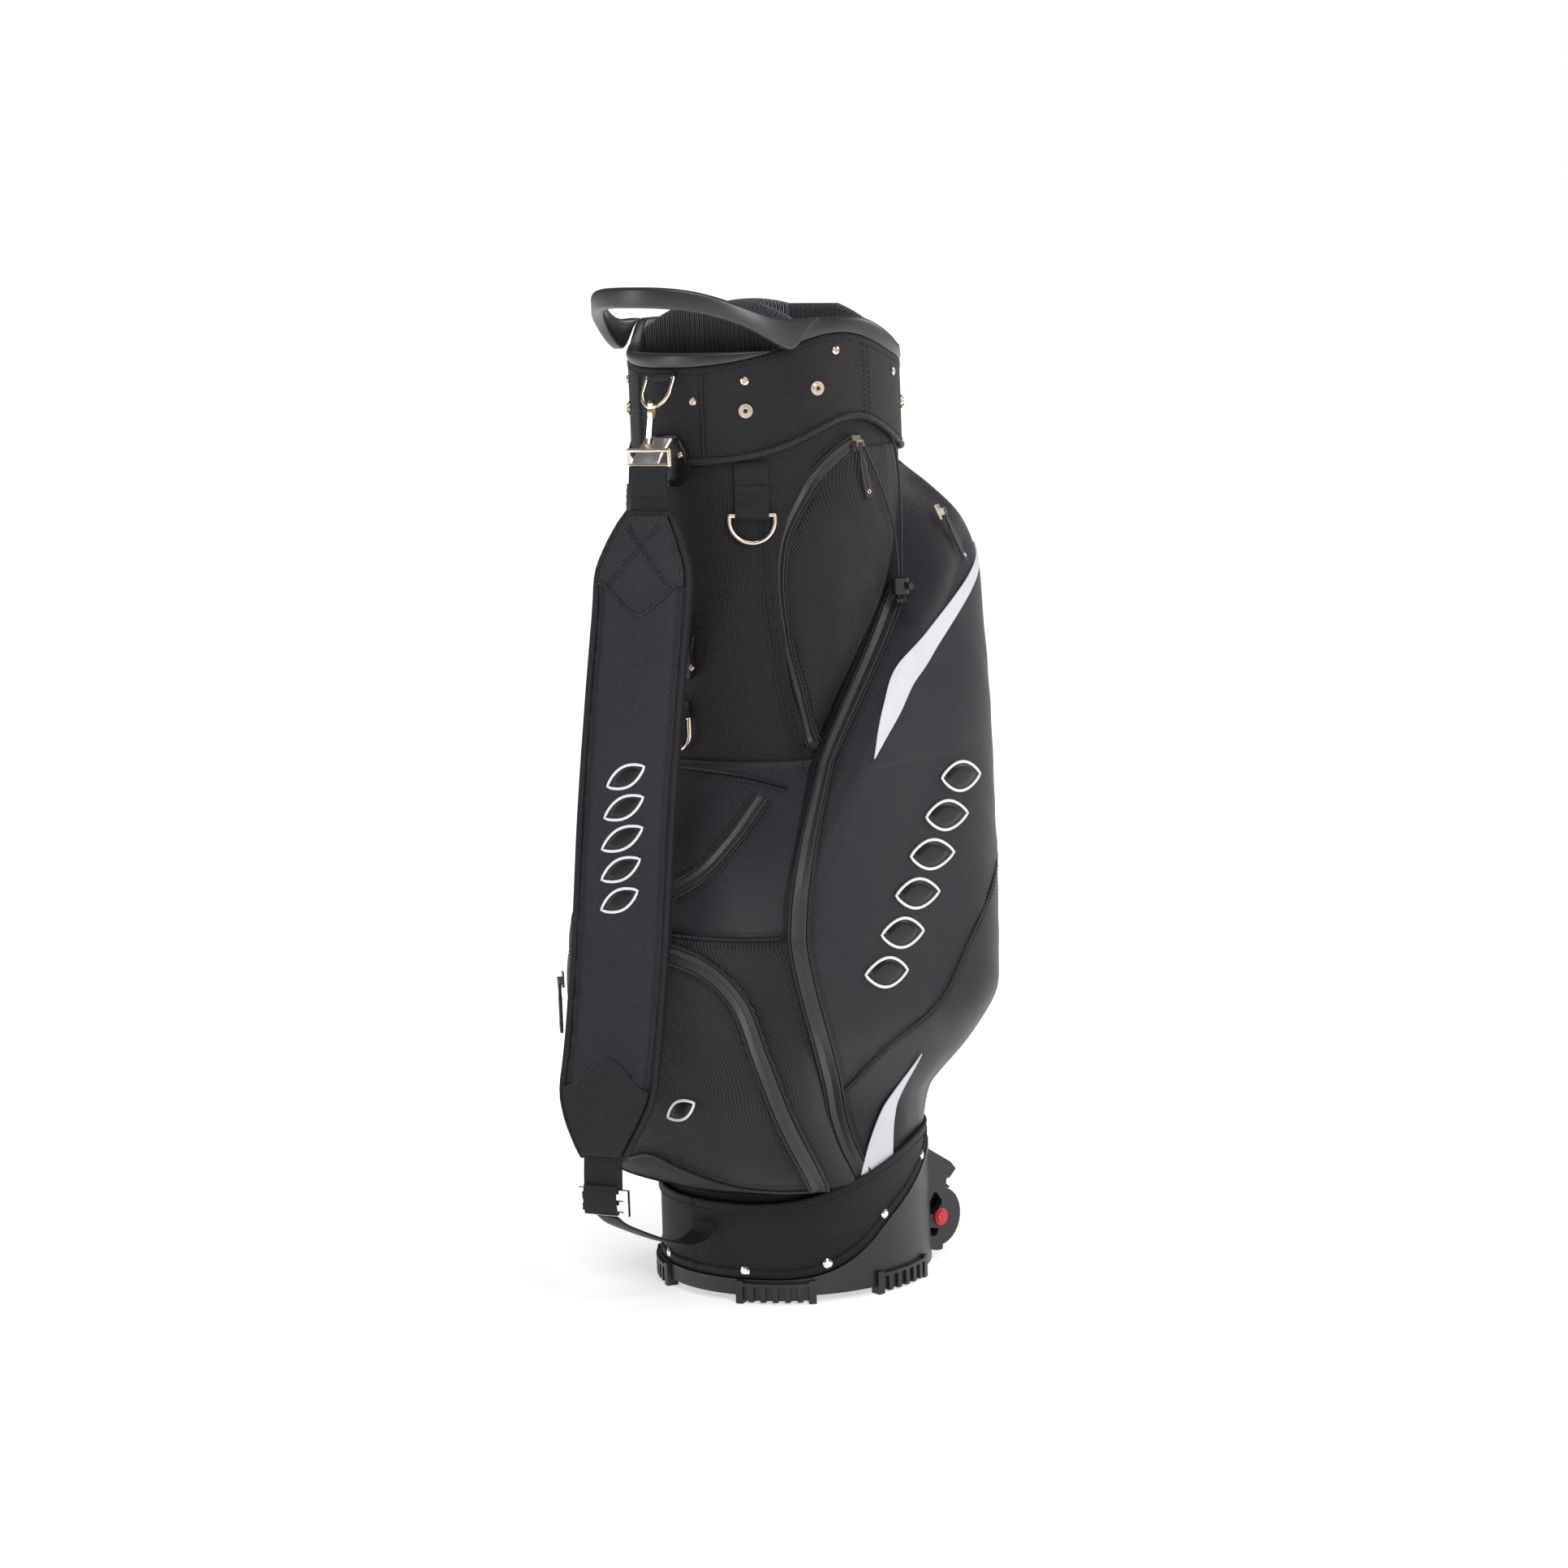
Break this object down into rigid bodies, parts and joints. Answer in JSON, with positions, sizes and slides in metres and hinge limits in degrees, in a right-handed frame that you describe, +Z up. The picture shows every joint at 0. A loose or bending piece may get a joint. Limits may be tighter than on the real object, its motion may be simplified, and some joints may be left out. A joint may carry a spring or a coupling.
{
  "type": "wheeled golf bag",
  "caption": "Tall round golf bag with zipped pockets, hanging shoulder strap, moulded collar with lift loop, club dividers, and a footed base with small wheels.",
  "frame": {"origin": "on the ground under the middle of the bag's bounding box", "axes": "+Z up, strap side faces -Y, wheels on the +Y side, X across the bag"},
  "size_m": [0.3336, 0.404, 0.9087],
  "materials": {
    "moulded_plastic": "satin moulded plastic",
    "foam": "soft foam",
    "steel": "plain steel",
    "hub_cap": "glossy red",
    "wheel_plastic": "matte black",
    "tyre_rubber": "dark grey rubber",
    "tube_fabric": "black woven polyester",
    "band_fabric": "black dobby nylon",
    "rivet_steel": "polished",
    "pale_brass": "polished pale brass",
    "divider_pile": "short pile",
    "divider_cloth": "thin lining cloth",
    "pull_rubber": "soft rubber",
    "webbing": "tight woven webbing",
    "pad_fabric": "black ripstop over foam",
    "chrome_plate": "polished",
    "handle_metal": "satin silver",
    "plate_plastic": "black",
    "cord_weave": "round elastic cord"
  },
  "bodies": {
    "bag": {"base_tub": "moulded_plastic", "wheel_housing_near": "moulded_plastic", "wheel_housing_far": "moulded_plastic", "floor_pad": "foam", "axle_pins": "steel", "hub_caps": "hub_cap", "tube_front": "tube_fabric", "tube_back": "tube_fabric", "stay_rods": "steel", "base_cuff": "band_fabric", "base_rivets": "rivet_steel", "collar_band": "band_fabric", "collar_rivets": "pale_brass", "collar_snaps": "pale_brass", "collar_rim": "moulded_plastic", "lift_loop": "moulded_plastic", "rear_grip": "moulded_plastic", "divider_top": "divider_pile", "divider_sheets": "divider_cloth", "ball_pocket": "tube_fabric", "small_pocket": "tube_fabric", "side_pocket_near": "tube_fabric", "side_pocket_far": "tube_fabric", "valuables_pocket_near": "tube_fabric", "valuables_pocket_far": "tube_fabric", "zip_sliders": "pale_brass", "strap_tab": "webbing", "strap_ring": "pale_brass", "snap_hook": "pale_brass", "web_eye": "pale_brass", "strap_web_top": "webbing", "shoulder_pad": "pad_fabric", "strap_web_low": "webbing", "strap_buckle": "chrome_plate", "strap_tail": "webbing", "carry_handle": "handle_metal", "handle_plates": "plate_plastic", "handle_rivets": "pale_brass", "mid_ring_tab": "webbing", "towel_tab": "webbing", "cord_near": "cord_weave", "cord_back": "cord_weave", "cord_lock": "plate_plastic"},
    "near_wheel": {"wheel_near": "wheel_plastic", "tyre_near": "tyre_rubber"},
    "far_wheel": {"wheel_far": "wheel_plastic", "tyre_far": "tyre_rubber"},
    "towel_d_ring": {"towel_ring": "pale_brass"},
    "mid_d_ring": {"mid_ring": "pale_brass"},
    "gate": {"hook_gate": "pale_brass"},
    "button": {"lock_button": "plate_plastic"},
    "pull_1": {"zip_pull_1": "pull_rubber"},
    "pull_2": {"zip_pull_2": "pull_rubber"},
    "pull_3": {"zip_pull_3": "pull_rubber"},
    "pull_4": {"zip_pull_4": "pull_rubber"},
    "pull_5": {"zip_pull_5": "pull_rubber"}
  },
  "joints": [
    {"name": "near_wheel_spin", "type": "hinge", "parent": "bag", "child": "near_wheel", "pos_m": [0.0775, 0.1448, 0.043], "axis": [1, 0, 0], "continuous": true},
    {"name": "far_wheel_spin", "type": "hinge", "parent": "bag", "child": "far_wheel", "pos_m": [-0.0775, 0.1448, 0.043], "axis": [1, 0, 0], "continuous": true},
    {"name": "towel_ring_swing", "type": "hinge", "parent": "bag", "child": "towel_d_ring", "pos_m": [0.07678, -0.04501, 0.708], "axis": [-0.7771, -0.6293, 0], "range_deg": [0, 150]},
    {"name": "mid_ring_swing", "type": "hinge", "parent": "bag", "child": "mid_d_ring", "pos_m": [0, -0.0722, 0.528], "axis": [-1, 0, 0], "range_deg": [0, 150]},
    {"name": "gate_press", "type": "hinge", "parent": "bag", "child": "gate", "pos_m": [0.00598, -0.09566, 0.80269], "axis": [-0.788, -0.6157, 0], "range_deg": [0, 25], "stiffness_Nm_per_rad": 0.01, "springref_deg": -11.46},
    {"name": "pull_1_swing", "type": "hinge", "parent": "bag", "child": "pull_1", "pos_m": [0.13028, 0.03611, 0.766], "axis": [-0.1045, -0.9945, 0], "range_deg": [0, 100]},
    {"name": "pull_2_swing", "type": "hinge", "parent": "bag", "child": "pull_2", "pos_m": [0.14568, 0.12403, 0.7], "axis": [0.454, -0.891, 0], "range_deg": [0, 100]},
    {"name": "pull_3_swing", "type": "hinge", "parent": "bag", "child": "pull_3", "pos_m": [-0.13028, 0.03611, 0.766], "axis": [-0.1045, 0.9945, 0], "range_deg": [0, 100]},
    {"name": "pull_4_swing", "type": "hinge", "parent": "bag", "child": "pull_4", "pos_m": [-0.14568, 0.12403, 0.7], "axis": [0.454, 0.891, 0], "range_deg": [0, 100]},
    {"name": "pull_5_swing", "type": "hinge", "parent": "bag", "child": "pull_5", "pos_m": [-0.11687, -0.12347, 0.285], "axis": [-0.829, 0.5592, 0], "range_deg": [0, 100]},
    {"name": "button_press", "type": "slide", "parent": "bag", "child": "button", "axis": [-1, 0, 0], "range_m": [0, 0.0035], "stiffness_N_per_m": 300, "springref_m": -0.002}
  ]
}
